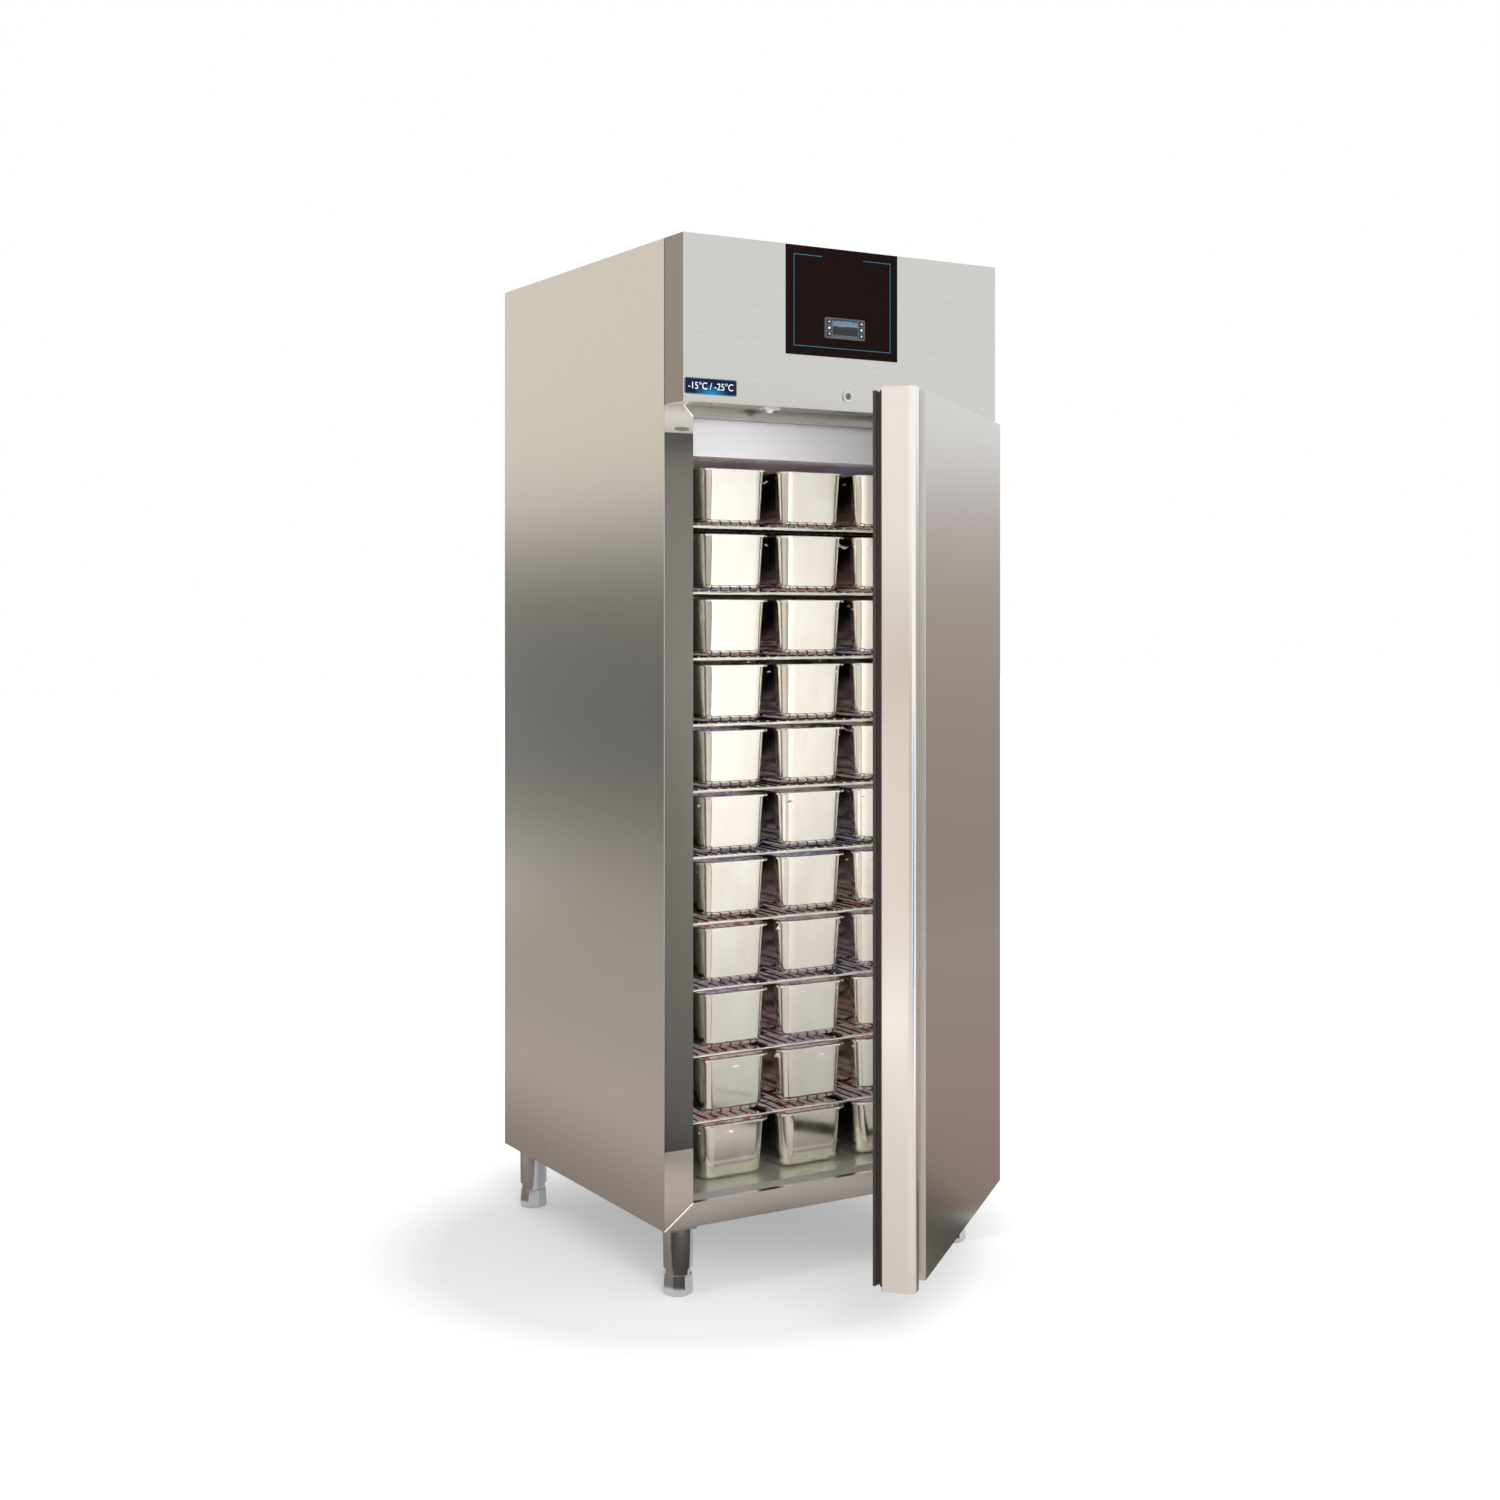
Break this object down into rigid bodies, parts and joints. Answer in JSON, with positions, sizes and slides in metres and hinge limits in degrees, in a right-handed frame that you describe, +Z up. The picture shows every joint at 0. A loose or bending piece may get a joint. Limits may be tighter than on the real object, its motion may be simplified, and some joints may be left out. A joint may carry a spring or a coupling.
{
  "type": "commercial upright freezer",
  "caption": "Tall single-door commercial freezer on legs, brushed steel, with a finger-groove door, wire shelves holding ice cream pans, and a tilting fascia with a controller.",
  "frame": {"origin": "on the floor under the middle of the cabinet body, left out of account the open door and the fascia", "axes": "+Z up, -Y towards the front where the door is, +X towards the hinge side (right when seen from the front)"},
  "size_m": [0.7669, 1.2851, 2.045],
  "materials": {
    "body_sheet": "fine scratch brushed",
    "galvanised_sheet": "zinc coated",
    "liner_sheet": "satin",
    "dark_plastic": "moulded",
    "foam": "rigid foam",
    "plated_wire": "bright plated",
    "white_sheet": "powder coated",
    "pan_steel": "satin",
    "ice_cream": "frozen cream",
    "fin_aluminium": "rolled fins",
    "black_enamel": "gloss enamel",
    "copper": "drawn tube",
    "grey_plastic": "moulded",
    "zinc": "zinc plated",
    "leg_steel": "satin",
    "gasket_rubber": "extruded",
    "dark_glass": "back printed",
    "bezel_plastic": "satin silver",
    "screen_glass": "display",
    "label_plastic": "printed",
    "lock_chrome": "plated",
    "white_plastic": "moulded",
    "key_plastic": "moulded"
  },
  "bodies": {
    "cabinet": {"side_panel_left": "body_sheet", "side_panel_right": "body_sheet", "back_panel": "galvanised_sheet", "base_panel": "galvanised_sheet", "top_cover": "body_sheet", "machine_deck": "galvanised_sheet", "frame_stiles": "body_sheet", "frame_rails": "body_sheet", "thermal_break": "dark_plastic", "liner_tub": "liner_sheet", "insulation": "foam", "shelf_racks": "liner_sheet", "wire_shelves": "plated_wire", "ice_cream_pans": "pan_steel", "ice_cream_fillings": "ice_cream", "air_duct_cover": "white_sheet", "rear_duct_panel": "liner_sheet", "evaporator_coil": "fin_aluminium", "evaporator_fan_motor": "dark_plastic", "compressor": "black_enamel", "condenser_coil": "fin_aluminium", "condenser_fan_shroud": "galvanised_sheet", "refrigerant_pipes": "copper", "electrical_box": "grey_plastic", "fascia_hinge_fixed_leaf": "zinc", "upper_hinge": "zinc", "lower_hinge": "zinc", "leg_plates": "zinc", "leg_tubes": "leg_steel", "panel_screws": "zinc"},
    "door": {"door_handle_profile": "body_sheet", "door_skin": "body_sheet", "door_end_caps": "grey_plastic", "door_insulation": "foam", "door_inner_panel": "white_sheet", "door_gasket": "gasket_rubber", "hinge_bushes": "grey_plastic"},
    "fascia": {"fascia_panel": "body_sheet", "control_glass": "dark_glass", "controller_bezel": "bezel_plastic", "controller_screen": "screen_glass", "temperature_label": "label_plastic", "lock_barrel": "lock_chrome", "switch_housing": "white_plastic", "fascia_hinge_moving_leaf": "zinc", "fascia_screws": "zinc"},
    "lock_plug": {"lock_plug": "lock_chrome"},
    "switch_plunger": {"switch_plunger": "white_plastic"},
    "evaporator_fan": {"evaporator_fan_blade": "dark_plastic"},
    "condenser_fan": {"condenser_fan_blade": "fin_aluminium"},
    "key_left_top": {"key_left_top": "key_plastic"},
    "key_left_middle": {"key_left_middle": "key_plastic"},
    "key_left_bottom": {"key_left_bottom": "key_plastic"},
    "key_right_top": {"key_right_top": "key_plastic"},
    "key_right_middle": {"key_right_middle": "key_plastic"},
    "key_right_bottom": {"key_right_bottom": "key_plastic"},
    "foot_front_left": {"foot_front_left": "leg_steel"},
    "foot_front_right": {"foot_front_right": "leg_steel"},
    "foot_back_left": {"foot_back_left": "leg_steel"},
    "foot_back_right": {"foot_back_right": "leg_steel"}
  },
  "joints": [
    {"name": "door_swing", "type": "hinge", "parent": "cabinet", "child": "door", "pos_m": [0.3566, -0.4018, 0.9285], "axis": [0, 0, 1], "range_deg": [-40.25, 65]},
    {"name": "fascia_tilt", "type": "hinge", "parent": "cabinet", "child": "fascia", "pos_m": [0, -0.3735, 2.0425], "axis": [-1, 0, 0], "range_deg": [0, 80]},
    {"name": "lock_turn", "type": "hinge", "parent": "fascia", "child": "lock_plug", "pos_m": [0.002, -0.4505, 1.751], "axis": [0, 1, 0], "range_deg": [0, 90]},
    {"name": "switch_press", "type": "slide", "parent": "fascia", "child": "switch_plunger", "axis": [0, 0, 1], "range_m": [0, 0.006], "stiffness_N_per_m": 150},
    {"name": "evaporator_fan_spin", "type": "hinge", "parent": "cabinet", "child": "evaporator_fan", "pos_m": [0, 0.1729, 1.587], "axis": [0, 1, 0], "continuous": true},
    {"name": "condenser_fan_spin", "type": "hinge", "parent": "cabinet", "child": "condenser_fan", "pos_m": [-0.174, -0.2803, 1.8835], "axis": [0, 1, 0], "continuous": true},
    {"name": "key_left_top_press", "type": "slide", "parent": "fascia", "child": "key_left_top", "axis": [0, 1, 0], "range_m": [0, 0.0008], "stiffness_N_per_m": 400},
    {"name": "key_left_middle_press", "type": "slide", "parent": "fascia", "child": "key_left_middle", "axis": [0, 1, 0], "range_m": [0, 0.0008], "stiffness_N_per_m": 400},
    {"name": "key_left_bottom_press", "type": "slide", "parent": "fascia", "child": "key_left_bottom", "axis": [0, 1, 0], "range_m": [0, 0.0008], "stiffness_N_per_m": 400},
    {"name": "key_right_top_press", "type": "slide", "parent": "fascia", "child": "key_right_top", "axis": [0, 1, 0], "range_m": [0, 0.0008], "stiffness_N_per_m": 400},
    {"name": "key_right_middle_press", "type": "slide", "parent": "fascia", "child": "key_right_middle", "axis": [0, 1, 0], "range_m": [0, 0.0008], "stiffness_N_per_m": 400},
    {"name": "key_right_bottom_press", "type": "slide", "parent": "fascia", "child": "key_right_bottom", "axis": [0, 1, 0], "range_m": [0, 0.0008], "stiffness_N_per_m": 400},
    {"name": "foot_front_left_level", "type": "slide", "parent": "cabinet", "child": "foot_front_left", "axis": [0, 0, -1], "range_m": [0, 0.025]},
    {"name": "foot_front_right_level", "type": "slide", "parent": "cabinet", "child": "foot_front_right", "axis": [0, 0, -1], "range_m": [0, 0.025]},
    {"name": "foot_back_left_level", "type": "slide", "parent": "cabinet", "child": "foot_back_left", "axis": [0, 0, -1], "range_m": [0, 0.025]},
    {"name": "foot_back_right_level", "type": "slide", "parent": "cabinet", "child": "foot_back_right", "axis": [0, 0, -1], "range_m": [0, 0.025]}
  ]
}
